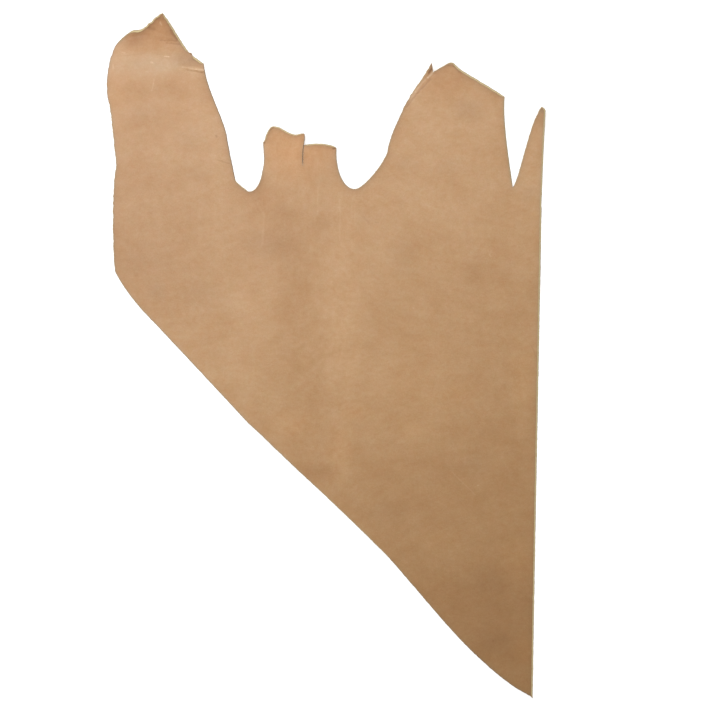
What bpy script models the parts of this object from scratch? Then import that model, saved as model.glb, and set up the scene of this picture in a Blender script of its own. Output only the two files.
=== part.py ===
# A single shoulder of vegetable-tanned leather, lying grain side up. It is one piece, cut from the
# hide with a knife: a straight right edge, a long slanting cut, and a neck with two leg notches.
#
# Frame: +X to the right, +Y up towards the neck, +Z out of the grain side. The origin is the middle
# of the hide's box, on the surface that it lies on.

from collections import namedtuple

import bmesh
import bpy
import numpy as np
from mathutils import Vector
from mathutils.geometry import delaunay_2d_cdt

MM = 0.001

# Driving dimensions, in millimetres.
THICKNESS = 3.0
SLIT_FOOT = (-41.5, 338)

# How fine the mesh is, in millimetres: the spacing of its points along the cut edge and inside it,
# how clear of the edge the inner ones stay (in spacings), and how near two points may be.
EDGE_STEP = 8.0
GRID_STEP = 19.0
EDGE_CLEARANCE = 0.6
MERGE_DISTANCE = 1e-5
CURVE_SAMPLES = 65

HIDE_COLOUR = (0.50, 0.32, 0.19, 1.0)
HIDE_ROUGHNESS = 0.55

# The cut edge in millimetres, clockwise from the tip of the left lobe. Each row is one cubic curve
# from its start to the start of the next row. "leave" is where its first handle lies from its
# start, and "arrive" is where its second handle lies from its end.
Stretch = namedtuple("Stretch", "name start leave arrive")
STRETCHES = [
    Stretch("left lobe, cut beside the tip", (-289, 607), (17, -21), (-18, 21)),
    Stretch("left lobe, by the neck corner", (-239, 535), (8, -6), (-8, 6)),
    Stretch("left lobe, upper neck side", (-216.5, 518), (3, -42), (-10, 42)),
    Stretch("left lobe, lower neck side", (-176, 391), (3.5, -25), (-5, 26)),
    Stretch("left notch, going down", (-161, 311), (4, -5), (-7, 5)),
    Stretch("left notch, going up", (-138, 292), (13, -3), (-3, -20)),
    Stretch("left notch, mouth", (-113, 327), (6, 20), (0, -16)),
    Stretch("left tab, shoulder", (-111.5, 379), (4, 3), (-12, -1)),
    Stretch("left tab, sloping top", (-93, 407), (14, -1), (-14, 1)),
    Stretch("left tab, raised corner", (-55, 393), (6, 0), (-6, 0)),
    Stretch("left tab, blunt corner", (-41, 395.5), (2, 0), (0, 1.5)),
    Stretch("left tab, above the slit", (-38, 393), (1, -6), (1, 6)),
    Stretch("slit, left lip", (-39.8, 374), (-1, -12), (0, 14)),
    Stretch("slit, foot", (-42, 338), (0, -1), (0, -1)),
    Stretch("slit, right lip", (-41, 338), (0, 14), (-1, -12)),
    Stretch("right tab, top", (-38.6, 374), (18, 4), (-11, 8.5)),
    Stretch("right notch, going down", (18.5, 369), (-2, -35), (-22, 0)),
    Stretch("right notch, going up", (51, 296), (16, 0), (-4, -18)),
    Stretch("right lobe, neck side", (109, 363), (1.5, 22), (-12, -24.5)),
    Stretch("right lobe, outside the tear", (145, 454.5), (11, 17), (-8, -13)),
    Stretch("torn sliver", (187, 518), (2, -5), (0, 4)),
    Stretch("right lobe, rising to its peak", (189, 504), (9, 7), (-9, -4)),
    Stretch("right lobe, peak", (221, 521), (4, 1), (-3, 2)),
    Stretch("right lobe, top cut", (231, 515), (24, -18), (-25, 18)),
    Stretch("spur notch, going down", (316.5, 459.5), (-2, -45), (-6, 55)),
    Stretch("spur notch, going up", (330, 299), (15, 20), (-22, -36)),
    Stretch("spur, tip", (381, 441), (3, 2), (0, 4)),
    Stretch("spur, right side", (389, 434), (-1, -45), (2, 50)),
    Stretch("right edge, straight cut", (382.2, 276), (-5, -290), (5, 290)),
    Stretch("lower point", (366.2, -607), (-1, 1), (2, -1)),
    Stretch("long cut, by the lower point", (361, -602), (-40, 18.5), (30, -30)),
    Stretch("long cut, lowest part", (244, -509), (-41, 43), (34, -38)),
    Stretch("long cut, lower part", (110, -358), (-40, 41), (40, -38)),
    Stretch("long cut, middle", (-17, -233), (-36, 32), (30, -27)),
    Stretch("long cut, upper part", (-137, -120), (-60, 64), (50, -52)),
    Stretch("long cut, by the left corner", (-319, 74), (-24, 24), (5, -12)),
    Stretch("left flank, lower part", (-373.5, 149), (-4, 20), (0, -30)),
    Stretch("left flank, middle", (-377.6, 250), (0, 35), (-4, -25)),
    Stretch("left flank, upper part", (-372, 338), (-3, 25), (6.5, -35)),
    Stretch("left lobe, outer bulge", (-384.5, 447), (-10, 32), (-15.5, -19)),
    Stretch("left lobe, outer shoulder", (-369, 555.5), (7, 8), (-7, -4)),
    Stretch("left lobe, small bump", (-345, 576), (4, 3), (-6, -3)),
    Stretch("left lobe, outer side of the tip", (-325, 580), (9, 7), (-12, -7)),
]

# Where an end of the hide curls up off the surface. It starts to rise at its hinge and is "rise"
# high at "reach" from there along "heading" (degrees from +X). The curl fades out over the widths
# to the right and left of that heading, and a width of 0 is where the leather is cut through.
Curl = namedtuple("Curl", "name hinge heading reach right left rise")
CURLS = [
    Curl("left lobe tip", (-300, 535), 82, 73, 150, 150, 19),
    Curl("left tab, at the slit", SLIT_FOOT, 85, 55, 0, 110, 5),
    Curl("right tab, at the slit", SLIT_FOOT, 85, 36, 110, 0, 2),
    Curl("torn sliver", (165, 482), 60, 42, 14, 14, 6),
    Curl("right lobe top", (250, 440), 100, 80, 130, 130, 6),
    Curl("spur tip", (372, 350), 80, 90, 45, 45, 7),
]

# Long low waves in the lying hide, each a rounded ridge along its heading, in degrees from +X.
Swell = namedtuple("Swell", "name centre heading half_length half_width rise")
SWELLS = [
    Swell("fold across the left lobe", (-300, 490), -3, 150, 45, 3),
    Swell("left of the backbone valley", (-92, 60), 88, 330, 85, 5),
    Swell("right of the backbone valley", (75, 20), 92, 360, 95, 5),
    Swell("left flank, upper wave", (-385, 395), 10, 75, 42, 1.5),
    Swell("left flank, lower wave", (-380, 235), -8, 70, 45, 1.5),
    Swell("right edge wave", (385, 150), 0, 90, 60, 2),
]

# Where the leather is thicker or thinner than the rest, fading out over each zone's radius.
Zone = namedtuple("Zone", "name centre radius change")
ZONES = [
    Zone("neck", (-20, 330), 220, 0.4),
    Zone("left lobe", (-300, 520), 260, -0.5),
    Zone("right lobe", (260, 470), 200, -0.5),
]


def clear_objects():
    for item in list(bpy.data.objects):
        bpy.data.objects.remove(item, do_unlink=True)


def curve_points(start, leave, arrive, end, step):
    """Evenly spaced points of one cubic curve, without its last one."""
    handles = [np.array(start), np.add(start, leave), np.add(end, arrive), np.array(end)]
    t = np.linspace(0, 1, CURVE_SAMPLES)[:, None]
    weights = [(1 - t) ** 3, 3 * t * (1 - t) ** 2, 3 * t ** 2 * (1 - t), t ** 3]
    fine = sum(weight * handle for weight, handle in zip(weights, handles))
    travelled = np.concatenate([[0], np.cumsum(np.hypot(*np.diff(fine, axis=0).T))])
    count = max(1, round(travelled[-1] / step))
    stops = np.linspace(0, travelled[-1], count + 1)[:-1]
    return np.column_stack([np.interp(stops, travelled, fine[:, axis]) for axis in (0, 1)])


def cut_edge(step):
    """The whole cut edge as one closed ring of points, in millimetres."""
    following = STRETCHES[1:] + STRETCHES[:1]
    runs = [curve_points(row.start, row.leave, row.arrive, after.start, step)
            for row, after in zip(STRETCHES, following)]
    return np.concatenate(runs)


def is_inside(points, ring):
    """True for each point that lies inside the closed ring."""
    inside = np.zeros(len(points), dtype=bool)
    x, y = points.T
    for (x0, y0), (x1, y1) in zip(ring, np.roll(ring, -1, axis=0)):
        if y0 == y1:
            continue
        crosses = (y0 > y) != (y1 > y)
        inside ^= crosses & (x < x0 + (y - y0) * (x1 - x0) / (y1 - y0))
    return inside


def inner_points(ring, step):
    """A triangular grid of points inside the ring, kept clear of its edge."""
    low, high = ring.min(axis=0), ring.max(axis=0)
    row_gap = step * np.sqrt(3) / 2
    rows = np.arange(low[1], high[1], row_gap)
    columns = np.arange(low[0], high[0], step)
    grid = [(x + (index % 2) * step / 2, y) for index, y in enumerate(rows) for x in columns]
    grid = np.array(grid)
    grid = grid[is_inside(grid, ring)]
    to_edge = np.array([np.hypot(*(ring - point).T).min() for point in grid])
    return grid[to_edge > EDGE_CLEARANCE * step]


def fade(distance):
    """A rounded hump: 1 at distance 0, and 0 with no slope from distance 1 on."""
    return np.clip(1 - np.square(distance), 0, None) ** 2


def along_and_across(points, origin, heading):
    """Each point's distance along a heading from the origin, and its distance to the side."""
    angle = np.radians(heading)
    ahead = np.array([np.cos(angle), np.sin(angle)])
    aside = np.array([-ahead[1], ahead[0]])
    offset = points - np.array(origin)
    return offset @ ahead, offset @ aside


def underside(points):
    """Height of the flesh side over the surface, which it touches wherever nothing lifts it."""
    height = np.zeros(len(points))
    for curl in CURLS:
        along, across = along_and_across(points, curl.hinge, curl.heading)
        width = np.where(across > 0, curl.left, curl.right)
        spread = fade(across / np.maximum(width, 1)) * (width > 0)
        height += curl.rise * np.square(np.clip(along, 0, None) / curl.reach) * spread
    for swell in SWELLS:
        along, across = along_and_across(points, swell.centre, swell.heading)
        height += swell.rise * fade(along / swell.half_length) * fade(across / swell.half_width)
    return height


def leather_thickness(points):
    """The hide is thickest at the neck and thins out into the two upper lobes."""
    thickness = np.full(len(points), THICKNESS)
    for zone in ZONES:
        thickness += zone.change * fade(np.hypot(*(points - zone.centre).T) / zone.radius)
    return thickness


def hide_mesh():
    """The closed solid: flesh side, grain side straight above it, and the cut edge all round."""
    ring = cut_edge(EDGE_STEP)
    plan = np.concatenate([ring, inner_points(ring, GRID_STEP)])
    outline_face = [list(range(len(ring)))]
    inside_only = 1
    corners = [Vector(point) for point in plan]
    flat = delaunay_2d_cdt(corners, [], outline_face, inside_only, MERGE_DISTANCE)
    places = np.array([point[:] for point in flat[0]])
    below = underside(places)
    above = below + leather_thickness(places)
    bm = bmesh.new()
    flesh = [bm.verts.new((x * MM, y * MM, z * MM)) for (x, y), z in zip(places, below)]
    grain = [bm.verts.new((x * MM, y * MM, z * MM)) for (x, y), z in zip(places, above)]
    for triangle in flat[2]:
        bm.faces.new([grain[index] for index in triangle])
        bm.faces.new([flesh[index] for index in reversed(triangle)])
    rim = [edge for edge in bm.edges if edge.is_boundary]
    bmesh.ops.bridge_loops(bm, edges=rim)
    bmesh.ops.triangulate(bm, faces=bm.faces)
    bmesh.ops.recalc_face_normals(bm, faces=bm.faces)
    mesh = bpy.data.meshes.new("hide")
    bm.to_mesh(mesh)
    bm.free()
    return mesh


def leather_material():
    material = bpy.data.materials.new("natural_leather")
    material.use_nodes = True
    shader = material.node_tree.nodes["Principled BSDF"]
    shader.inputs["Base Color"].default_value = HIDE_COLOUR
    shader.inputs["Roughness"].default_value = HIDE_ROUGHNESS
    shader.inputs["Metallic"].default_value = 0.0
    return material


def build_hide():
    hide = bpy.data.objects.new("hide", hide_mesh())
    hide.data.materials.append(leather_material())
    bpy.context.scene.collection.objects.link(hide)


clear_objects()
build_hide()
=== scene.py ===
# Looks of the leather shoulder: one closed sheet, with its grain side, its cut edge and its flesh
# side, under soft studio light.
#
# Frame: +X to the right, +Y up towards the neck, +Z out of the grain side. Plan sizes are in
# millimetres, and become metres as the mesh is made.
from collections import namedtuple

import bpy
import numpy as np
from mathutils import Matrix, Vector, kdtree, noise
from mathutils.geometry import delaunay_2d_cdt


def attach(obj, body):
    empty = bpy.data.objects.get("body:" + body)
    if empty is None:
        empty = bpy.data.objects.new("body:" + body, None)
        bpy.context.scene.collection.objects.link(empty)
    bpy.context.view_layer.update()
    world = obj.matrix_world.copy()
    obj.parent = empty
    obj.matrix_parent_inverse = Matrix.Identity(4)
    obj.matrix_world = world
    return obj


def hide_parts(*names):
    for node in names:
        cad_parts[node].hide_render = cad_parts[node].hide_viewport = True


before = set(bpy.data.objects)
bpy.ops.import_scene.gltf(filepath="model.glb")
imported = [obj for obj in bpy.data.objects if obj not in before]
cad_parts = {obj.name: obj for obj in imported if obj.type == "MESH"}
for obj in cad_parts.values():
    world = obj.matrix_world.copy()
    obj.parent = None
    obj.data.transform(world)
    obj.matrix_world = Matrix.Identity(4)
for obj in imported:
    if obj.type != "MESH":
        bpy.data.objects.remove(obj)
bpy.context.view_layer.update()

MM = 0.001

# The camera looks straight down, over the middle of the photograph's frame.
CAMERA_X = 0.0602
CAMERA_Y = -0.0071
CAMERA_HEIGHT = 4.0
VIEW_WIDTH = 1.276
SENSOR_WIDTH = 36.0

# Spacing of the mesh's points, in millimetres. The clearance, in spacings, is what inner points
# keep from the edge.
EDGE_STEP = 2.2
GRAIN_STEP = 6.0
FINE_STEP = 3.0
FLESH_STEP = 14.0
EDGE_CLEARANCE = 0.6
MERGE_DISTANCE = 1e-6
CURVE_SAMPLES = 65
TURN_SMOOTHING = 2
ROW_BLENDING = 3
SHARP_ANGLE = 38

# The materials' places in the sheet's list.
GRAIN_SLOT, CUT_SLOT, FLESH_SLOT = range(3)

THICKNESS = 3.0
SLIT_FOOT = (-41.5, 338)

# A ragged edge wanders this far, in waves of these sizes, and stays put in sharp corners. The cut
# has two rows of points, at these shares of its height, which fray in and out. In millimetres.
WANDER = 0.9
WANDER_SIZES = (9, 4)
CORNER_HOLD = 5
CUT_LEVELS = (0.36, 0.72)
FRAY = 0.12
FRAY_SIZE = 2.5

# The cut edge in millimetres, clockwise from the tip of the left lobe. Each row is one cubic curve
# from its start to the start of the next row, with its handles given from its two ends. "bevel" is
# how far the knife slanted, so that the cut shows from above, "ragged" how far the edge wanders
# from its curve, "pale" how pale the cut is, from bare fibres down to a dark colour that is partly
# old cut and partly painted shade on cut faces and in the slit, and "shade" how much the grain
# darkens there.
Stretch = namedtuple("Stretch", "name start leave arrive bevel ragged pale shade")
STRETCHES = [
    Stretch("left lobe, cut beside the tip", (-289.2, 608), (16, -20), (-15.5, 18.5), 3.0, 0.9, 0.9, 1.3),
    Stretch("left lobe, nub on that cut", (-242.4, 537.6), (2, 1.2), (1.2, 2.8), 0.3, 0.0, 0.0, 0.7),
    Stretch("left lobe, by the neck corner", (-237.2, 533.2), (7, -6), (-8, 6), 3.4, 0.6, 1.0, 1.0),
    Stretch("left lobe, upper neck side", (-216.5, 518), (3, -42), (-10, 42), 1.0, 0.4, 0.2, 0.9),
    Stretch("left lobe, lower neck side", (-176, 391), (3.5, -25), (-5, 26), 1.1, 0.4, 0.1, 0.9),
    Stretch("left notch, going down", (-160.6, 311.2), (4, -5), (-7, 5), 1.4, 0.5, 0.9, 1.1),
    Stretch("left notch, going up", (-138, 292), (13, -3), (-3, -20), 0.9, 0.3, 0.6, 1.3),
    Stretch("left notch, mouth", (-113, 327), (6, 20), (0, -16), 0.9, 0.3, 0.3, 0.2),
    Stretch("left tab, shoulder", (-111.5, 379), (4, 3), (-12, -1), 1.8, 0.5, 0.8, 1.1),
    Stretch("left tab, sloping top", (-93, 407.2), (15, -0.5), (-14, 2), 2.2, 0.6, 1.0, 1.0),
    Stretch("left tab, raised corner", (-55, 392.4), (6, 0), (-6, 0), 2.0, 0.2, 1.0, 1.0),
    Stretch("left tab, blunt corner", (-41, 394.5), (2, 0), (0, 1.5), 1.6, 0.0, 0.2, 1.0),
    Stretch("left tab, above the slit", (-37.8, 393), (1, -6), (1, 6), 0.9, 0.2, 0.1, 0.8),
    # The slit's lips take the dark cut colour: painted shade in the narrow slit.
    Stretch("slit, left lip", (-39.3, 374), (-2.2, -8), (0, 16), 0.5, 0.0, 0.0, 0.5),
    Stretch("slit, foot", (-41.4, 338), (0, -1), (0, -1), 0.0, 0.0, 0.0, 0.3),
    Stretch("slit, right lip", (-41.2, 338), (0, 16), (-2.2, -8), 0.4, 0.0, 0.0, 0.5),
    Stretch("right tab, top", (-39.1, 374), (18, 4), (-11, 8.5), 2.2, 0.4, 0.9, 1.1),
    Stretch("right notch, going down", (18.5, 369), (-2, -35), (-22, 0), 1.0, 0.3, 0.5, 0.9),
    Stretch("right notch, going up", (51, 296), (16, 0), (-4, -18), 0.9, 0.5, 0.6, 1.1),
    Stretch("right lobe, neck side", (109, 363), (1.5, 22), (-12, -24.5), 1.0, 0.7, 0.4, 0.6),
    Stretch("right lobe, outside the tear", (145, 454.5), (11, 17), (-7.5, -15), 1.1, 0.9, 0.6, 0.2),
    Stretch("torn sliver", (187, 520), (2.2, -6), (0, 4), 0.3, 0.2, 0.4, 0.3),
    Stretch("right lobe, rising to its peak", (189.5, 502.9), (9.5, 6.4), (-6, -3.8), 1.0, 0.4, 0.6, 1.2),
    Stretch("right lobe, peak", (217, 519.4), (2.6, 1.2), (-2.5, 0.2), 3.2, 0.2, 0.6, 1.2),
    Stretch("right lobe, corner of the peak", (225.6, 519.9), (4, -4.2), (-4, 3), 3.0, 0.2, 1.0, 1.0),
    Stretch("right lobe, top cut", (238.9, 507.3), (25, -15.5), (-25, 17), 2.8, 0.4, 1.0, 1.0),
    Stretch("spur notch, going down", (316.5, 459.5), (-3.2, -45), (-7.5, 55), 1.5, 0.2, 0.7, 0.5),
    Stretch("spur notch, going up", (331, 299), (13.5, 20), (-23, -35.5), 0.9, 0.4, 0.6, 0.4),
    Stretch("spur, tip", (381, 441), (3, 2), (0, 4), 5.0, 0.2, 1.0, 1.6),
    Stretch("spur, right side", (389, 434), (-2.2, -45), (1.5, 50), 2.3, 0.4, 1.0, 0.4),
    Stretch("right edge, straight cut", (382.2, 276), (-5, -290), (4.3, 290), 2.6, 0.4, 1.0, 0.2),
    Stretch("lower point", (366.2, -607), (-1, 1), (2, -1), 0.4, 0.0, 0.5, 0.1),
    Stretch("long cut, by the lower point", (361, -602), (-40, 18.5), (30, -30), 0.7, 0.5, 0.1, 0.1),
    Stretch("long cut, lowest part", (244, -509), (-41, 43), (34, -38), 0.7, 0.4, 0.4, 0.0),
    Stretch("long cut, lower part", (110.8, -357.1), (-40, 41), (40, -38), 0.8, 0.4, 0.8, -0.5),
    Stretch("long cut, middle", (-17, -233), (-36, 32), (30, -27), 0.8, 0.4, 0.6, -0.3),
    Stretch("long cut, upper part", (-137, -120), (-60, 64), (50, -52), 0.8, 0.4, 0.5, -0.3),
    Stretch("long cut, by the left corner", (-319, 74), (-24, 24), (5, -12), 0.8, 0.5, 0.6, 0.0),
    Stretch("left flank, lower part", (-373.5, 149), (-4, 20), (0, -30), 1.0, 1.0, 0.6, 0.3),
    Stretch("left flank, middle", (-377.6, 250), (0, 35), (-4, -25), 1.0, 1.1, 0.6, 0.3),
    Stretch("left flank, upper part", (-372, 338), (-3, 25), (6.5, -35), 1.0, 1.0, 0.6, 0.2),
    Stretch("left lobe, outer bulge", (-384.5, 447), (-10, 32), (-15.5, -19), 0.6, 0.8, 0.1, 0.3),
    Stretch("left lobe, outer shoulder", (-369, 555.5), (7, 8), (-7, -4), 1.9, 0.6, 0.5, 0.5),
    Stretch("left lobe, small bump", (-345, 576), (4, 3), (-6, -3), 4.5, 0.8, 1.0, 1.1),
    Stretch("left lobe, outer side of the tip", (-325, 580), (9.5, 5.8), (-12.3, -5), 2.5, 1.1, 0.8, 1.8),
]

# Where an end of the hide curls up: it starts to rise at its hinge and is "rise" high at "reach"
# from there along "heading" (degrees from +X), fading out to the right and left of that line. A
# width of 0 is where the leather is cut through.
Curl = namedtuple("Curl", "name hinge heading reach right left rise")
CURLS = [
    Curl("left lobe tip", (-300, 535), 82, 73, 150, 150, 19),
    Curl("left tab, at the slit", SLIT_FOOT, 85, 55, 0, 110, 5),
    Curl("right tab, at the slit", SLIT_FOOT, 85, 36, 110, 0, 2),
    Curl("torn sliver", (165, 482), 60, 42, 14, 14, 6),
    Curl("right lobe top", (250, 440), 100, 80, 130, 130, 6),
    Curl("spur tip", (372, 350), 80, 90, 45, 45, 7),
]

# Long low waves in the lying hide, each a rounded ridge along its heading, in degrees from +X.
Swell = namedtuple("Swell", "name centre heading half_length half_width rise")
SWELLS = [
    Swell("fold across the left lobe", (-300, 490), -3, 150, 45, 3),
    Swell("left of the backbone valley", (-92, 60), 88, 330, 85, 5),
    Swell("right of the backbone valley", (75, 20), 92, 360, 95, 5),
    Swell("left flank, upper wave", (-385, 395), 10, 75, 42, 1.5),
    Swell("left flank, lower wave", (-380, 235), -8, 70, 45, 1.5),
    Swell("right edge wave", (385, 150), 0, 90, 60, 2),
]

# Where the leather is thicker or thinner than the rest, fading out over each zone's radius.
Zone = namedtuple("Zone", "name centre radius change")
ZONES = [
    Zone("neck", (-20, 330), 220, 0.4),
    Zone("left lobe", (-300, 520), 260, -0.5),
    Zone("right lobe", (260, 470), 200, -0.5),
]

# Parts of the plan that get the finer mesh: lowest and highest corner, in millimetres.
FINE_AREAS = [
    ((-395, 450), (-195, 615)),
    ((-120, 325), (30, 415)),
    ((130, 425), (235, 525)),
]

# Small folds in the grain: the line that each follows, its half width and its height. A negative
# height is a crease.
Fold = namedtuple("Fold", "name start end half_width height")
FOLDS = [
    Fold("sharp fold at the left lobe's corner", (-254, 511), (-212, 505), 3.5, 1.3),
    Fold("crease under it", (-246, 505), (-212, 500), 3.5, -0.8),
    Fold("softer fold above it", (-262, 520), (-214, 514), 6.0, 0.8),
    Fold("bend along the sheen, outer half", (-374, 532), (-318, 536), 13.0, -0.25),
    Fold("bend along the sheen, inner half", (-312, 533), (-248, 537), 13.0, -0.25),
    Fold("crease under the small bump", (-350, 566), (-322, 570), 6.0, -0.8),
    Fold("upper crease below the tip", (-293, 559), (-263, 558), 4.0, -0.6),
    Fold("lower crease below the tip", (-283, 554), (-257, 552), 4.0, -0.6),
    Fold("groove inside the tip's cut", (-276, 576), (-262, 558), 5.0, -0.8),
    Fold("tear beside the sliver, lower half", (141, 441), (164, 472), 3.5, -0.8),
    Fold("tear beside the sliver, upper half", (164, 472), (190, 500), 4.0, -1.2),
]

# Soft oval patches where the grain is lighter (above 0) or darker (below 0) than around them,
# and warmer (above 0) or cooler (below 0), with their half sizes. The sheen across the left lobe
# is a painted highlight on the fold's slope that faces the light, and the tip and the band under
# the sheen are darker partly as painted shade of the curl and of the fold's far slope.
Patch = namedtuple("Patch", "name centre half_width half_height lightness warmth")
PATCHES = [
    Patch("whole left side", (-340, 230), 270, 330, -0.15, 0.05),
    Patch("left lobe", (-310, 495), 150, 165, -0.10, 0.07),
    Patch("left of the neck", (-85, 225), 125, 150, -0.11, 0.05),
    Patch("pale middle", (145, -60), 140, 150, 0.05, 0.00),
    # Partly painted shade of the curled tip.
    Patch("tip", (-298, 588), 75, 60, -0.16, 0.16),
    Patch("under the small bump", (-343, 560), 32, 22, -0.20, 0.06),
    Patch("brown spot under the small bump", (-343, 561), 15, 15, -0.10, 0.12),
    Patch("band under the small bump's cut", (-328, 568), 24, 11, -0.10, 0.04),
    Patch("inside the tip's cut", (-270, 570), 22, 30, -0.10, 0.04),
    Patch("outer bulge", (-377, 462), 32, 38, 0.05, 0.00),
    # Painted highlight on the fold's lit slope, then partly painted shade on its far slope.
    Patch("sheen across the left lobe", (-300, 517), 122, 32, 0.08, -0.17),
    Patch("brown and shaded band under the sheen", (-298, 475), 120, 22, -0.05, 0.03),
    Patch("mauve band at the corner", (-245, 525), 42, 20, -0.20, 0.05),
    Patch("pale band under it", (-238, 508), 32, 9, 0.12, -0.04),
    Patch("blotch on the left lobe", (-322, 428), 58, 35, -0.05, 0.00),
    Patch("blotch by the lobe's neck side", (-238, 385), 45, 35, -0.05, 0.00),
    Patch("lobe's neck side, high", (-212, 478), 22, 45, -0.07, 0.03),
    Patch("blotch above the left notch", (-232, 325), 45, 30, -0.04, 0.00),
    Patch("blotch high on the flank", (-335, 325), 55, 50, -0.06, 0.05),
    Patch("blotch low on the flank", (-325, 170), 85, 50, -0.08, 0.04),
    Patch("blotch beside it", (-222, 110), 55, 40, -0.05, 0.00),
    Patch("spot near the left corner", (-300, 115), 32, 28, -0.09, 0.02),
    Patch("beside the left notch", (-185, 230), 50, 70, 0.04, -0.03),
    Patch("under the left notch", (-112, 285), 62, 36, -0.07, 0.07),
    Patch("under the left tab", (-98, 198), 72, 38, -0.10, 0.03),
    Patch("spot under the left tab", (-75, 255), 26, 28, -0.05, 0.00),
    Patch("left of the backbone", (-62, 90), 48, 170, -0.07, 0.04),
    Patch("right of the backbone", (33, 50), 50, 230, 0.06, -0.02),
    Patch("both tabs", (-42, 372), 105, 85, 0.00, 0.15),
    Patch("right tab", (-5, 335), 48, 55, -0.07, 0.00),
    Patch("under the right tab", (0, 240), 32, 60, -0.06, 0.02),
    Patch("peak of the right lobe", (205, 492), 85, 56, -0.10, 0.11),
    Patch("blotch on the right lobe", (252, 436), 46, 34, -0.12, 0.02),
    Patch("blotch by the right notch", (143, 340), 32, 26, -0.05, 0.00),
    Patch("second blotch by the right notch", (220, 335), 40, 28, -0.04, 0.00),
    Patch("third blotch by the right notch", (72, 245), 32, 26, -0.04, 0.00),
    Patch("pale area on the right lobe", (190, 270), 52, 46, 0.03, -0.02),
    Patch("blotch right of the backbone", (140, 180), 42, 60, -0.05, 0.00),
    Patch("blotch on the right", (262, 150), 38, 50, -0.09, 0.04),
    Patch("blotch beside the right margin", (315, 150), 40, 40, -0.05, 0.02),
    Patch("blotch under the spur notch", (358, 285), 24, 26, -0.07, 0.00),
    Patch("beside the spur", (368, 300), 60, 170, 0.06, -0.03),
    Patch("right margin", (348, -40), 36, 110, 0.09, -0.02),
    Patch("spot in the right margin", (370, 6), 12, 16, 0.07, -0.03),
    Patch("spur", (378, 424), 18, 32, -0.17, 0.08),
    Patch("belly side, large blotch", (215, -205), 95, 42, -0.06, 0.04),
    Patch("belly side, spot in it", (265, -190), 36, 36, -0.06, 0.00),
    Patch("belly side, lower blotch", (110, -280), 62, 32, -0.07, 0.02),
    Patch("pale streak in the middle", (25, -165), 36, 75, 0.08, 0.00),
    Patch("pale spot in the middle", (150, -130), 32, 24, 0.05, 0.00),
    Patch("stain at the long cut", (-25, -205), 62, 30, -0.13, 0.08),
    Patch("above that stain", (-60, -120), 62, 36, 0.07, 0.00),
    Patch("along the long cut", (-115, -60), 75, 65, 0.05, -0.04),
    Patch("long cut, further up", (-200, -35), 42, 32, 0.04, -0.04),
    Patch("lower point", (300, -450), 170, 120, -0.09, 0.05),
    Patch("lower point, dark middle", (288, -398), 62, 38, -0.05, 0.00),
    Patch("lower point, right margin", (336, -365), 46, 62, 0.09, -0.02),
    Patch("lower point, pale spot", (352, -520), 26, 42, 0.08, 0.00),
    Patch("lower point, dark foot", (298, -508), 45, 30, -0.08, 0.02),
    Patch("above the lower point", (200, -325), 60, 32, 0.05, 0.00),
    Patch("right side, pale spot", (240, -68), 48, 34, 0.04, 0.00),
    Patch("pale spot by the backbone", (50, -102), 40, 28, 0.05, 0.00),
]
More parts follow.
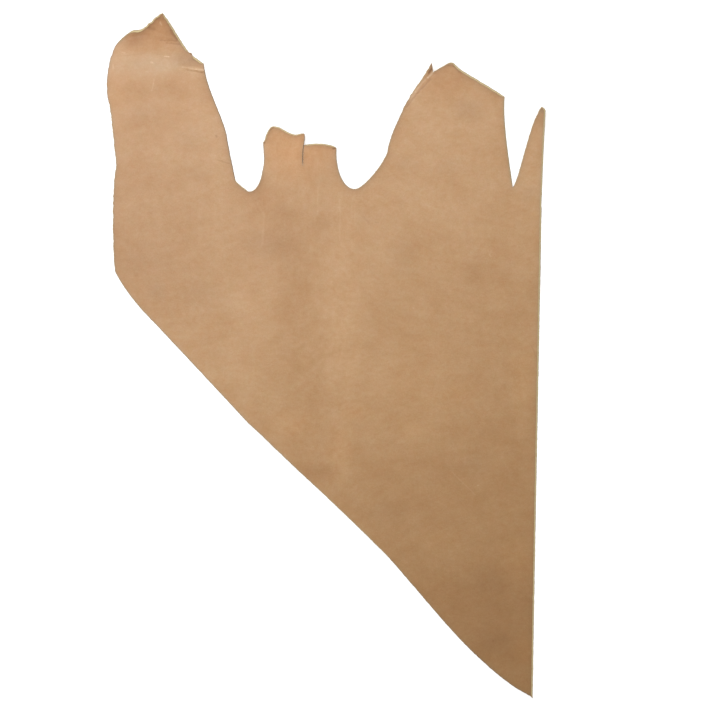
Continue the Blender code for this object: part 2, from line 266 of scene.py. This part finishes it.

# Healed scratches and scars (strength above 0, pale) and dark marks (below 0) in the grain: thin
# lines from start to end, or dots where the two are the same. The dark lines in the creases, the
# folds and the groove, and the marks named shade, are painted shade.
Mark = namedtuple("Mark", "name start end half_width strength")
MARKS = [
    Mark("scratch on the tip", (-293, 589), (-290.5, 585), 2.4, 0.3),
    Mark("scratch below the bump", (-360.5, 538.5), (-356, 537), 2.0, 0.38),
    Mark("dash on the sheen", (-286, 531), (-278.5, 530), 1.9, 0.6),
    Mark("dot on the sheen", (-310, 520), (-307, 519), 2.3, 0.48),
    Mark("nick at the bulge", (-377, 516), (-377, 509), 2.1, 0.32),
    Mark("curved scar, upper half", (-305, 490), (-305, 482), 1.8, 0.18),
    Mark("curved scar, lower half", (-305, 482), (-309, 470), 2.2, 0.2),
    Mark("fold line at the corner", (-254, 511), (-230, 508), 2.0, 0.28),
    Mark("fold line, bright end", (-230, 508), (-217, 506), 2.6, 0.5),
    Mark("strip outside the tear", (151, 459.5), (175, 489), 4.8, 0.17),
    Mark("bare fibres of the tear, low", (149, 456), (158, 468), 2.6, 0.22),
    Mark("bare fibres of the tear, spot", (158, 468), (163, 475), 3.4, 0.38),
    Mark("bare fibres of the tear, middle", (163, 475), (181, 493), 2.8, 0.28),
    Mark("bare fibres of the tear, top", (181, 493), (190.5, 503), 3.2, 0.75),
    Mark("scar under the left notch, upper end", (-122, 271), (-110, 249), 4.0, 0.06),
    Mark("scar under the left notch", (-110, 249), (-112, 200), 3.6, 0.08),
    Mark("scar under the left notch, lower end", (-112, 200), (-119, 188), 3.6, 0.05),
    Mark("scar under the left tab", (-73, 250), (-74, 205), 3.2, 0.05),
    Mark("scar under the slit", (-14, 303), (-15, 250), 2.8, 0.10),
    Mark("scar under the right tab", (25, 276), (24, 206), 2.8, 0.10),
    Mark("scar by the right notch", (51, 268), (51, 232), 2.6, 0.08),
    Mark("scar on the right, first", (252, 180), (257, 177), 2.2, 0.12),
    Mark("scar on the right, second", (289, 181), (292, 176), 2.2, 0.18),
    Mark("pale dot in the middle", (154, 85), (155, 85), 2.4, 0.2),
    Mark("pale dot low down", (269, -229), (270, -229), 2.2, 0.2),
    Mark("long scratch low down", (220, -202), (264, -246), 2.0, 0.08),
    Mark("insect bite", (-195, 390), (-194, 388), 2.8, -0.25),
    Mark("scratch by the left notch", (-192, 347), (-172, 341), 2.0, -0.14),
    # Painted shade in the corner fold, along the bend above the sheen, in the creases and the groove.
    Mark("dark line in the corner fold", (-245, 506), (-219, 502), 2.2, -0.16),
    Mark("dark line above the sheen, outer", (-372, 531), (-322, 536), 2.6, -0.04),
    Mark("dark line above the sheen, inner", (-306, 534), (-262, 536), 2.6, -0.03),
    Mark("upper crease below the tip", (-293, 559), (-265, 558), 2.4, -0.14),
    Mark("lower crease below the tip", (-282, 554), (-259, 552), 2.6, -0.14),
    Mark("groove inside the tip's cut", (-275, 575), (-264, 560), 3.0, -0.16),
    Mark("shade under the tip", (-301, 597), (-288, 594), 5.0, -0.14),
    Mark("brown spot beside the bump", (-313, 581), (-305, 578), 6.0, -0.17),
    Mark("shade of the tear, low", (143, 441), (162, 466), 2.6, -0.19),
    Mark("shade of the tear, high", (162, 466), (185, 490), 2.8, -0.25),
    Mark("torn sliver's brown tip", (181, 500), (187, 514), 4.6, -0.15),
    Mark("torn sliver's darker side", (187, 508), (188, 516), 2.4, -0.18),
    Mark("shade at its foot", (182, 501), (187, 507), 3.0, -0.45),
    Mark("line under the peak, flat", (216, 514), (226, 513), 2.4, -0.20),
    Mark("line under the peak, sloping", (226, 513), (238, 501), 2.2, -0.14),
    Mark("dark nub on the cut", (-240, 536), (-239, 535), 2.6, -0.35),
    Mark("dark corner of the left tab's shoulder", (-110.5, 380), (-109.5, 377), 3.4, -0.40),
    Mark("dark line at the left tab's top", (-103, 397), (-94, 403.5), 2.4, -0.22),
    Mark("dark corner of the right tab", (13, 367.5), (17, 368), 3.2, -0.40),
    Mark("dark line at the right edge", (365, 17), (371, 0), 2.4, -0.10),
    Mark("vein", (66, 246), (77, 235), 2.8, -0.09),
    Mark("spot beside the vein", (88, 237), (93, 236), 2.4, -0.10),
    Mark("spot near the point", (296, -503), (296, -504), 2.6, -0.10),
]

# The grain's colour runs from light to dark down the hide, slowly at first: partly the leather's
# own tone, partly painted fall-off of the key light at the top left. WARM_SHIFT is how red, green
# and blue change, as logarithms, for a warmth of 1. The three after it say how strongly red,
# green and blue follow the brightness of the mottle, of the dark marks and of the rim.
GRADIENT_FROM = (-300, 520)
GRADIENT_TO = (330, -560)
GRADIENT_BEND = 1.8
LIGHT_LEATHER = (0.53, 0.313, 0.162)
DARK_LEATHER = (0.31, 0.159, 0.0545)
WARM_SHIFT = (0.45, -0.25, -1.0)
MOTTLE_COLOURS = (0.52, 0.93, 1.6)
SHADE_COLOURS = (0.8, 1.0, 1.25)
RIM_COLOURS = (1.2, 0.4, -0.5)
SCAR_COLOUR = (0.71, 0.49, 0.31)
FRESH_CUT = (0.56, 0.45, 0.25)
# The dark end of the cut's colours: partly old, darkened cut, partly painted shade on cut faces and in
# the slit.
OLD_AND_SHADED_CUT = (0.16, 0.08, 0.035)
FLESH_COLOUR = (0.56, 0.41, 0.27)

# Noise patterns: their largest features in millimetres, how far they are stretched along X, Y and
# Z, how many finer layers they hold, and how strong those are.
Pattern = namedtuple("Pattern", "size stretch detail roughness")
CLOUDS = Pattern(55, (1.3, 1, 1), 3, 0.8)
MOTTLE = Pattern(7, (1.2, 1, 1), 4, 1.0)
STREAKS = Pattern(7, (1, 3, 1), 2, 0.7)
HUES = Pattern(16, (1, 1, 1), 3.5, 0.9)
PORES = Pattern(2.6, (1, 1, 1), 3, 0.8)
GROWTH = Pattern(9, (7, 1, 1), 2, 0.5)
WOBBLES = Pattern(7, (1, 1, 1), 1, 0.5)
FIBRES = Pattern(1.2, (1, 1, 1), 3, 0.7)
NAP = Pattern(2.5, (1, 1, 1), 4, 0.75)
FLESH_CLOUDS = Pattern(60, (1, 1, 1), 3, 0.6)

# Fine variation of the grain: swings as shares of the brightness, and widths in millimetres.
CLOUD_SWING = 0.25
MOTTLE_SWING = 0.29
PORE_SWING = 0.15
STREAK_SWING = 0.06
STREAKS_CENTRE = (-35, 250)
STREAKS_REACH = (170, 230)
HUE_SWING = (0.13, 0.07, 0.20)
MARGIN_WIDTH = 8.0
MARGIN_DARKENING = 0.20
# The rim is partly burnished grain, partly painted shade where the grain rounds over the cut.
RIM_WIDTH = 1.9
RIM_DARKENING = 0.14

# Relief and gloss of the grain, with heights in millimetres. Scars show at least SCAR_LEAST, and
# more by SCAR_WEAR where the pores are open. Marks wobble by up to half of WOBBLE.
GRAIN_ROUGHNESS = 0.44
MOTTLE_ROUGHNESS = 0.16
PORE_HEIGHT = 0.05
GROWTH_HEIGHT = 0.12
SCAR_HEIGHT = 0.06
CREASE_HEIGHT = -0.10
SCAR_LEAST = 0.2
SCAR_WEAR = 1.6
WOBBLE = 3

# Fibres of the cut and nap of the flesh side, in millimetres and as shares of the brightness.
FIBRE_SWING = 0.25
FIBRE_HEIGHT = 0.25
FIBRE_GLOSS = 0.15
CUT_ROUGHNESS = 0.9
NAP_SWING = 0.22
NAP_HEIGHT = 0.5
FLESH_CLOUD_SWING = 0.12
FLESH_ROUGHNESS = 0.95

# The white floor, just under the hide, and the light, in metres and watts.
FLOOR_HALF = 20.0
FLOOR_LEVEL = -0.0004
FLOOR_WHITE = 0.93
FLOOR_ROUGHNESS = 0.9
FLOOR_GLOW = 0.3
WORLD_STRENGTH = 0.75
KEY_PLACE = (-1.1, 1.5, 2.3)
KEY_TARGET = (-0.1, 0.1, 0)
KEY_SIZE = 1.6
KEY_POWER = 38
FARTHEST_SEEN = 50


def curve_points(start, leave, arrive, end, step):
    """Evenly spaced points of one cubic curve, without its last one."""
    handles = [np.array(start), np.add(start, leave), np.add(end, arrive), np.array(end)]
    t = np.linspace(0, 1, CURVE_SAMPLES)[:, None]
    weights = [(1 - t) ** 3, 3 * t * (1 - t) ** 2, 3 * t ** 2 * (1 - t), t ** 3]
    fine = sum(weight * handle for weight, handle in zip(weights, handles))
    travelled = np.concatenate([[0], np.cumsum(np.hypot(*np.diff(fine, axis=0).T))])
    count = max(1, round(travelled[-1] / step))
    stops = np.linspace(0, travelled[-1], count + 1)[:-1]
    return np.column_stack([np.interp(stops, travelled, fine[:, axis]) for axis in (0, 1)])


def smooth_ring(values, passes):
    """Values along a closed ring, each one averaged with its neighbours some times over."""
    for _ in range(passes):
        values = (np.roll(values, 1, axis=0) + 2 * values + np.roll(values, -1, axis=0)) / 4
    return values


def inward(ring):
    """The direction into the hide at each point of its clockwise ring."""
    ahead = np.roll(ring, -1, axis=0) - np.roll(ring, 1, axis=0)
    side = np.column_stack([ahead[:, 1], -ahead[:, 0]])
    return side / np.hypot(*side.T)[:, None]


def sharpness(ring):
    """How far the ring turns at each point, from 0 for straight on to 1 for right back."""
    before = ring - np.roll(ring, 1, axis=0)
    after = np.roll(ring, -1, axis=0) - ring
    cosine = (before * after).sum(axis=1) / (np.hypot(*before.T) * np.hypot(*after.T))
    return np.arccos(np.clip(cosine, -1, 1)) / np.pi


def rough_noise(points, size):
    """Noise from about -1 to 1 at each point, with features of about that size."""
    return np.array([noise.noise(Vector((x / size, y / size, size))) for x, y in points])


def cut_edge(step):
    """The cut edge as a closed ring of points, and the bevel, paleness and shade at each."""
    following = STRETCHES[1:] + STRETCHES[:1]
    runs = [curve_points(row.start, row.leave, row.arrive, after.start, step)
            for row, after in zip(STRETCHES, following)]
    ring = np.concatenate(runs)
    facts = np.array([(row.bevel, row.ragged, row.pale, row.shade)
                      for row, run in zip(STRETCHES, runs) for _ in run])
    turn = smooth_ring(sharpness(ring), TURN_SMOOTHING)
    corner = np.clip(1 - CORNER_HOLD * turn, 0, 1)
    bevel, ragged, pale, shade = smooth_ring(facts, ROW_BLENDING).T
    bevel = bevel * smooth_ring(corner, TURN_SMOOTHING)
    wander = sum(WANDER * rough_noise(ring, size) for size in WANDER_SIZES)
    ring = ring + inward(ring) * (ragged * corner * wander)[:, None]
    return ring, bevel, pale, shade


def is_inside(points, ring):
    """True for each point that lies inside the closed ring."""
    inside = np.zeros(len(points), dtype=bool)
    x, y = points.T
    for (x0, y0), (x1, y1) in zip(ring, np.roll(ring, -1, axis=0)):
        if y0 == y1:
            continue
        crosses = (y0 > y) != (y1 > y)
        inside ^= crosses & (x < x0 + (y - y0) * (x1 - x0) / (y1 - y0))
    return inside


class Nearest:
    """Looks up how far points are from a ring, and which point of it is nearest."""

    def __init__(self, ring):
        self.tree = kdtree.KDTree(len(ring))
        for index, (x, y) in enumerate(ring):
            self.tree.insert((x, y, 0), index)
        self.tree.balance()

    def find(self, points):
        found = [self.tree.find((x, y, 0)) for x, y in points]
        places, indices, distances = zip(*found)
        return np.array(distances), np.array(indices)


def triangular_grid(low, high, step):
    """Points between two corners of the plan, each the same step from its neighbours."""
    rows = np.arange(low[1], high[1], step * np.sqrt(3) / 2)
    columns = np.arange(low[0], high[0], step)
    return np.array([(x + (index % 2) * step / 2, y)
                     for index, y in enumerate(rows) for x in columns])


def in_fine_area(points):
    """True for each point in a part of the plan that gets the finer mesh."""
    held = np.zeros(len(points), dtype=bool)
    for low, high in FINE_AREAS:
        held |= np.all((points > low) & (points < high), axis=1)
    return held


def fill_points(ring, step, fine_step=None):
    """The points that fill a ring: a triangular grid, finer where the leather is folded."""
    grid = triangular_grid(ring.min(axis=0), ring.max(axis=0), step)
    gaps = np.full(len(grid), step)
    if fine_step:
        grid = grid[~in_fine_area(grid)]
        fine = [triangular_grid(low, high, fine_step) for low, high in FINE_AREAS]
        gaps = np.concatenate([np.full(len(grid), step)]
                              + [np.full(len(part), fine_step) for part in fine])
        grid = np.concatenate([grid] + fine)
    inside = is_inside(grid, ring)
    grid, gaps = grid[inside], gaps[inside]
    distance, _ = Nearest(ring).find(grid)
    return grid[distance > EDGE_CLEARANCE * gaps]


def fade(distance):
    """A rounded hump: 1 at distance 0, and 0 with no slope from distance 1 on."""
    return np.clip(1 - np.square(distance), 0, None) ** 2


def along_and_across(points, origin, heading):
    """Each point's distance along a heading from the origin, and its distance to the side."""
    angle = np.radians(heading)
    ahead = np.array([np.cos(angle), np.sin(angle)])
    aside = np.array([-ahead[1], ahead[0]])
    offset = points - np.array(origin)
    return offset @ ahead, offset @ aside


def underside(points):
    """Height of the flesh side over the surface, which it touches wherever nothing lifts it."""
    height = np.zeros(len(points))
    for curl in CURLS:
        along, across = along_and_across(points, curl.hinge, curl.heading)
        width = np.where(across > 0, curl.left, curl.right)
        spread = fade(across / np.maximum(width, 1)) * (width > 0)
        height += curl.rise * np.square(np.clip(along, 0, None) / curl.reach) * spread
    for swell in SWELLS:
        along, across = along_and_across(points, swell.centre, swell.heading)
        height += swell.rise * fade(along / swell.half_length) * fade(across / swell.half_width)
    return height


def leather_thickness(points):
    """The hide is thickest at the neck and thins out into the two upper lobes."""
    thickness = np.full(len(points), THICKNESS)
    for zone in ZONES:
        thickness += zone.change * fade(np.hypot(*(points - zone.centre).T) / zone.radius)
    return thickness


def to_line(points, start, end):
    """Each point's distance to the straight line between two places."""
    start, end = np.array(start, float), np.array(end, float)
    run = end - start
    share = np.clip((points - start) @ run / (run @ run), 0, 1)
    return np.hypot(*(points - start - share[:, None] * run).T)


def small_folds(points):
    """Height that the small folds and creases add to the grain side."""
    height = np.zeros(len(points))
    for fold in FOLDS:
        height += fold.height * fade(to_line(points, fold.start, fold.end) / fold.half_width)
    return height


def oval_cover(points, centre, reach):
    """1 at the middle of an oval area, and 0 outside it."""
    return fade(np.hypot(*((points - centre) / reach).T))


def leather_tone(points):
    """The grain's colour at each point, before its fine mottle, with painted light fall-off, sheen and
    shade.
    """
    start, run = np.array(GRADIENT_FROM), np.subtract(GRADIENT_TO, GRADIENT_FROM)
    depth = np.clip((points - start) @ run / (run @ run), 0, 1) ** GRADIENT_BEND
    tone = np.log(LIGHT_LEATHER) + depth[:, None] * np.log(np.divide(DARK_LEATHER, LIGHT_LEATHER))
    for patch in PATCHES:
        cover = oval_cover(points, patch.centre, (patch.half_width, patch.half_height))
        tone += cover[:, None] * (patch.lightness + patch.warmth * np.array(WARM_SHIFT))
    return np.exp(tone)


def drawn_back(places):
    """Lifted leather drawn back to where the camera, overhead, sees it in the outline's place."""
    under_camera = np.array([CAMERA_X, CAMERA_Y]) / MM
    nearer = 1 - places[:, 2:] * MM / CAMERA_HEIGHT
    places[:, :2] = under_camera + (places[:, :2] - under_camera) * nearer
    return places


def triangles_of(ring, inner):
    """The plan's points, the ring's first, and the triangles that fill the ring."""
    plan = [Vector(point) for point in np.concatenate([ring, inner])]
    inside_only = 1
    flat = delaunay_2d_cdt(plan, [], [list(range(len(ring)))], inside_only, MERGE_DISTANCE)
    if len(flat[0]) != len(plan):
        raise ValueError(f"the cut edge crosses itself: {len(flat[0])} points, not {len(plan)}")
    return np.array([point[:] for point in flat[0]]), [tuple(triangle) for triangle in flat[2]]


def hide_mesh():
    """The closed sheet: grain side, slanting cut all round, and flesh side."""
    ring, bevel, pale, shade = cut_edge(EDGE_STEP)
    into = smooth_ring(inward(ring), TURN_SMOOTHING)
    grain_ring = ring + into * bevel[:, None]
    grain, grain_faces = triangles_of(grain_ring, fill_points(grain_ring, GRAIN_STEP, FINE_STEP))
    flesh, flesh_faces = triangles_of(ring, fill_points(ring, FLESH_STEP))
    count = len(ring)

    distance, nearest = Nearest(grain_ring).find(grain)
    grain_z = underside(grain) + leather_thickness(grain) + small_folds(grain)
    flesh_z = underside(flesh)
    fibre = FRAY * rough_noise(ring, FRAY_SIZE)
    places = [np.column_stack([flesh, flesh_z]), np.column_stack([grain, grain_z])]
    for level in CUT_LEVELS:
        plan = ring + into * (bevel * level)[:, None]
        z = flesh_z[:count] + (grain_z[:count] - flesh_z[:count]) * level
        places.append(np.column_stack([plan + into * fibre[:, None], z]))
    starts = np.cumsum([0] + [len(part) for part in places])
    flesh_row, grain_row, low_row, high_row = [start + np.arange(count) for start in starts[:4]]

    faces = [tuple(starts[0] + i for i in reversed(face)) for face in flesh_faces]
    slots = [FLESH_SLOT] * len(faces)
    faces += [tuple(starts[1] + i for i in face) for face in grain_faces]
    slots += [GRAIN_SLOT] * len(grain_faces)
    for lower, upper in ((flesh_row, low_row), (low_row, high_row), (high_row, grain_row)):
        after = np.roll(np.arange(count), -1)
        faces += [(lower[i], upper[i], upper[j], lower[j]) for i, j in enumerate(after)]
        slots += [CUT_SLOT] * count
    plan = np.concatenate(places)[:, :2]
    places = drawn_back(np.concatenate(places))

    mesh = bpy.data.meshes.new("shoulder")
    mesh.from_pydata(places * MM, [], faces)
    mesh.polygons.foreach_set("material_index", slots)
    tone = np.ones((len(places), 4))
    tone[:, :3] = leather_tone(plan)
    mesh.attributes.new("tone", "FLOAT_COLOR", "POINT").data.foreach_set("color", tone.ravel())
    from_edge = np.zeros(len(places))
    from_edge[starts[1]:starts[2]] = distance
    darker = np.zeros(len(places))
    darker[starts[1]:starts[2]] = shade[nearest]
    # Paleness of the cut; its dark end is partly painted shade.
    fibres = np.concatenate([np.zeros(len(flesh)), pale[nearest], pale, pale])
    streaks = oval_cover(plan, STREAKS_CENTRE, STREAKS_REACH)
    for name, values in (("from_edge", from_edge), ("shade", darker), ("pale", fibres),
                         ("streaks", streaks)):
        mesh.attributes.new(name, "FLOAT", "POINT").data.foreach_set("value", values)
    mesh.validate()
    mesh.shade_smooth()
    mesh.set_sharp_from_angle(angle=np.radians(SHARP_ANGLE))
    return mesh


def add(tree, kind, feeds=None, **settings):
    """Adds a node, and feeds its inputs from other nodes' sockets or with plain values."""
    made = tree.nodes.new("ShaderNode" + kind)
    for name, value in settings.items():
        setattr(made, name, value)
    for name, value in (feeds or {}).items():
        if isinstance(value, bpy.types.NodeSocket):
            tree.links.new(value, made.inputs[name])
        else:
            made.inputs[name].default_value = value
    return made


def maths(tree, operation, *values):
    return add(tree, "Math", dict(enumerate(values)), operation=operation).outputs[0]


def vector_maths(tree, operation, *values):
    made = add(tree, "VectorMath", dict(enumerate(values)), operation=operation)
    return made.outputs["Value" if operation in ("DOT_PRODUCT", "LENGTH") else "Vector"]


def attribute(tree, name, output="Fac"):
    return add(tree, "Attribute", attribute_name=name).outputs[output]


def place_in_mm(tree, stretch=(1, 1, 1)):
    """The place on the object in millimetres, squeezed so that patterns come out stretched."""
    place = add(tree, "TexCoord").outputs["Object"]
    return vector_maths(tree, "MULTIPLY", place, [1 / MM / share for share in stretch])


def noise_of(tree, pattern):
    """A noise texture that follows one of the patterns."""
    feeds = {"Vector": place_in_mm(tree, pattern.stretch), "Scale": 1 / pattern.size,
             "Detail": pattern.detail, "Roughness": pattern.roughness}
    return add(tree, "TexNoise", feeds)


def swing(tree, value, amount):
    """A factor around 1 that swings with a noise value around 0.5."""
    return maths(tree, "MULTIPLY_ADD", value, 2 * amount, 1 - amount)


def scaled(tree, colour, factor):
    return add(tree, "VectorMath", {0: colour, "Scale": factor}, operation="SCALE").outputs["Vector"]


def browned(tree, brightness, shares):
    """Red, green and blue for a brightness around 1: dark leather is browner, pale is greyer."""
    channels = [maths(tree, "POWER", brightness, share) for share in shares]
    return add(tree, "CombineXYZ", dict(enumerate(channels))).outputs[0]


def line_mark_group():
    """A soft line between two places: 1 along its middle, fading to 0 at its half width."""
    tree = bpy.data.node_groups.new("line_mark", "ShaderNodeTree")
    sockets = (("Place", "Vector"), ("Start", "Vector"), ("End", "Vector"), ("Half Width", "Float"))
    for name, kind in sockets:
        tree.interface.new_socket(name, in_out="INPUT", socket_type="NodeSocket" + kind)
    tree.interface.new_socket("Cover", in_out="OUTPUT", socket_type="NodeSocketFloat")
    given = tree.nodes.new("NodeGroupInput").outputs
    offset = vector_maths(tree, "SUBTRACT", given["Place"], given["Start"])
    run = vector_maths(tree, "SUBTRACT", given["End"], given["Start"])
    ahead = vector_maths(tree, "DOT_PRODUCT", offset, run)
    whole = vector_maths(tree, "DOT_PRODUCT", run, run)
    share = add(tree, "Clamp", {"Value": maths(tree, "DIVIDE", ahead, whole)}).outputs[0]
    aside = vector_maths(tree, "SUBTRACT", offset, scaled(tree, run, share))
    distance = vector_maths(tree, "LENGTH", aside)
    feeds = {"Value": distance, "From Min": given["Half Width"], "From Max": 0.0}
    cover = add(tree, "MapRange", feeds, interpolation_type="SMOOTHSTEP").outputs[0]
    tree.links.new(cover, tree.nodes.new("NodeGroupOutput").inputs["Cover"])
    return tree


def marks_on(tree, place, group, marks):
    """All these marks together, each at its own strength."""
    total = 0.0
    for mark in marks:
        line = tree.nodes.new("ShaderNodeGroup")
        line.node_tree = group
        tree.links.new(place, line.inputs["Place"])
        line.inputs["Start"].default_value = (*mark.start, 0)
        line.inputs["End"].default_value = (*mark.end, 0)
        line.inputs["Half Width"].default_value = mark.half_width
        total = maths(tree, "MULTIPLY_ADD", line.outputs["Cover"], abs(mark.strength), total)
    return total


def new_material(name):
    material = bpy.data.materials.new(name)
    material.use_nodes = True
    return material, material.node_tree, material.node_tree.nodes["Principled BSDF"]


def grain_material():
    """Undyed grain: a cloudy tan, with growth lines, pores, healed scars, darker margins, and painted
    sheen and shade.
    """
    material, tree, shader = new_material("leather_grain")
    clouds, mottle, streaks = (noise_of(tree, pattern) for pattern in (CLOUDS, MOTTLE, STREAKS))
    hues, pores, growth = (noise_of(tree, pattern) for pattern in (HUES, PORES, GROWTH))

    wobble = noise_of(tree, WOBBLES).outputs["Color"]
    wobble = vector_maths(tree, "SUBTRACT", wobble, [0.5] * 3)
    flat_place = vector_maths(tree, "MULTIPLY", place_in_mm(tree), (1, 1, 0))
    wobbly = vector_maths(tree, "MULTIPLY_ADD", wobble, (WOBBLE, WOBBLE, 0), flat_place)
    group = line_mark_group()
    worn = maths(tree, "MULTIPLY_ADD", pores.outputs["Fac"], SCAR_WEAR, SCAR_LEAST)
    light_marks = maths(tree, "MULTIPLY", worn, marks_on(
        tree, wobbly, group, [mark for mark in MARKS if mark.strength > 0]))
    # Partly spots and a vein, partly painted shade in creases, folds, under the tip and along the tear.
    dark_marks = marks_on(tree, wobbly, group, [mark for mark in MARKS if mark.strength < 0])

    from_edge, shade = attribute(tree, "from_edge"), attribute(tree, "shade")
    margin = maths(tree, "EXPONENT", maths(tree, "DIVIDE", from_edge, -MARGIN_WIDTH))
    rim = maths(tree, "EXPONENT", maths(tree, "DIVIDE", from_edge, -RIM_WIDTH))
    margin = maths(tree, "MULTIPLY", margin, maths(tree, "MULTIPLY", shade, MARGIN_DARKENING))
    darker = maths(tree, "ADD", margin, dark_marks)

    around = maths(tree, "SUBTRACT", streaks.outputs["Fac"], 0.5)
    streaky = maths(tree, "MULTIPLY", attribute(tree, "streaks"), 2 * STREAK_SWING)
    brightness = maths(tree, "MULTIPLY_ADD", around, streaky, 1)
    for pattern, amount in ((clouds, CLOUD_SWING), (mottle, MOTTLE_SWING), (pores, PORE_SWING)):
        brightness = maths(tree, "MULTIPLY", brightness, swing(tree, pattern.outputs["Fac"], amount))

    tint = vector_maths(tree, "MULTIPLY_ADD", hues.outputs["Color"], HUE_SWING,
                        [1 - share / 2 for share in HUE_SWING])
    tint = vector_maths(tree, "MULTIPLY", tint, browned(tree, brightness, MOTTLE_COLOURS))
    shaded = browned(tree, maths(tree, "SUBTRACT", 1, darker), SHADE_COLOURS)
    tint = vector_maths(tree, "MULTIPLY", tint, shaded)
    # A thin darker rim: partly burnish, partly painted shade where the grain rounds over the cut.
    rim_darkened = maths(tree, "MULTIPLY_ADD", rim, -RIM_DARKENING, 1)
    tint = vector_maths(tree, "MULTIPLY", tint, browned(tree, rim_darkened, RIM_COLOURS))
    colour = vector_maths(tree, "MULTIPLY", attribute(tree, "tone", "Color"), tint)
    to_scar = vector_maths(tree, "SUBTRACT", SCAR_COLOUR, colour)
    colour = vector_maths(tree, "ADD", colour, scaled(tree, to_scar, light_marks))
    tree.links.new(colour, shader.inputs["Base Color"])

    roughness = maths(tree, "MULTIPLY_ADD", mottle.outputs["Fac"], MOTTLE_ROUGHNESS, GRAIN_ROUGHNESS)
    tree.links.new(roughness, shader.inputs["Roughness"])
    relief = maths(tree, "MULTIPLY", pores.outputs["Fac"], PORE_HEIGHT)
    relief = maths(tree, "MULTIPLY_ADD", growth.outputs["Fac"], GROWTH_HEIGHT, relief)
    relief = maths(tree, "MULTIPLY_ADD", light_marks, SCAR_HEIGHT, relief)
    relief = maths(tree, "MULTIPLY_ADD", dark_marks, CREASE_HEIGHT, relief)
    bump = add(tree, "Bump", {"Height": relief, "Strength": 1.0, "Distance": MM})
    tree.links.new(bump.outputs["Normal"], shader.inputs["Normal"])
    return material


def cut_material():
    """Fibres of the knife cut: pale bare fibres, and a dark colour that is partly old cut and partly
    painted shade.
    """
    material, tree, shader = new_material("leather_cut")
    fibres = noise_of(tree, FIBRES)
    ramp = add(tree, "ValToRGB", {"Fac": attribute(tree, "pale")})
    ramp.color_ramp.elements[0].color = (*OLD_AND_SHADED_CUT, 1)
    ramp.color_ramp.elements[1].color = (*FRESH_CUT, 1)
    colour = scaled(tree, ramp.outputs["Color"], swing(tree, fibres.outputs["Fac"], FIBRE_SWING))
    tree.links.new(colour, shader.inputs["Base Color"])
    shader.inputs["Roughness"].default_value = CUT_ROUGHNESS
    shader.inputs["Specular IOR Level"].default_value = FIBRE_GLOSS
    bump = add(tree, "Bump", {"Height": fibres.outputs["Fac"], "Distance": FIBRE_HEIGHT * MM})
    tree.links.new(bump.outputs["Normal"], shader.inputs["Normal"])
    return material


def flesh_material():
    """The suede-like flesh side: pale, matt and fibrous."""
    material, tree, shader = new_material("leather_flesh")
    nap, clouds = noise_of(tree, NAP), noise_of(tree, FLESH_CLOUDS)
    brightness = maths(tree, "MULTIPLY", swing(tree, nap.outputs["Fac"], NAP_SWING),
                       swing(tree, clouds.outputs["Fac"], FLESH_CLOUD_SWING))
    tree.links.new(scaled(tree, FLESH_COLOUR, brightness), shader.inputs["Base Color"])
    shader.inputs["Roughness"].default_value = FLESH_ROUGHNESS
    bump = add(tree, "Bump", {"Height": nap.outputs["Fac"], "Distance": NAP_HEIGHT * MM})
    tree.links.new(bump.outputs["Normal"], shader.inputs["Normal"])
    return material


def build_shoulder():
    mesh = hide_mesh()
    for material in (grain_material(), cut_material(), flesh_material()):
        mesh.materials.append(material)
    shoulder = bpy.data.objects.new("shoulder", mesh)
    bpy.context.scene.collection.objects.link(shoulder)
    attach(shoulder, "root")
    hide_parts("hide")


def build_floor():
    mesh = bpy.data.meshes.new("floor")
    corners = [(x * FLOOR_HALF, y * FLOOR_HALF, FLOOR_LEVEL)
               for x, y in ((-1, -1), (1, -1), (1, 1), (-1, 1))]
    mesh.from_pydata(corners, [], [(0, 1, 2, 3)])
    floor = bpy.data.objects.new("floor", mesh)
    bpy.context.scene.collection.objects.link(floor)
    material, _, shader = new_material("white_floor")
    shader.inputs["Base Color"].default_value = (*[FLOOR_WHITE] * 3, 1)
    shader.inputs["Roughness"].default_value = FLOOR_ROUGHNESS
    shader.inputs["Emission Color"].default_value = (1, 1, 1, 1)
    shader.inputs["Emission Strength"].default_value = FLOOR_GLOW
    mesh.materials.append(material)


def area_light(name, place, target, size, power):
    light = bpy.data.lights.new(name, "AREA")
    light.shape = "DISK"
    light.size = size
    light.energy = power
    lamp = bpy.data.objects.new(name, light)
    lamp.location = place
    lamp.rotation_euler = (Vector(target) - Vector(place)).to_track_quat("-Z", "Y").to_euler()
    bpy.context.scene.collection.objects.link(lamp)


def build_light():
    world = bpy.data.worlds.new("studio")
    world.use_nodes = True
    background = world.node_tree.nodes["Background"]
    background.inputs["Color"].default_value = (1, 1, 1, 1)
    background.inputs["Strength"].default_value = WORLD_STRENGTH
    bpy.context.scene.world = world
    area_light("key", KEY_PLACE, KEY_TARGET, KEY_SIZE, KEY_POWER)


def build_camera():
    camera = bpy.data.objects.new("camera", bpy.data.cameras.new("camera"))
    camera.data.sensor_width = SENSOR_WIDTH
    camera.data.lens = SENSOR_WIDTH * CAMERA_HEIGHT / VIEW_WIDTH
    camera.location = (CAMERA_X, CAMERA_Y, CAMERA_HEIGHT)
    camera.data.clip_end = FARTHEST_SEEN
    bpy.context.scene.collection.objects.link(camera)
    bpy.context.scene.camera = camera
    bpy.context.scene.view_settings.view_transform = "Standard"


build_camera()
build_floor()
build_light()
build_shoulder()
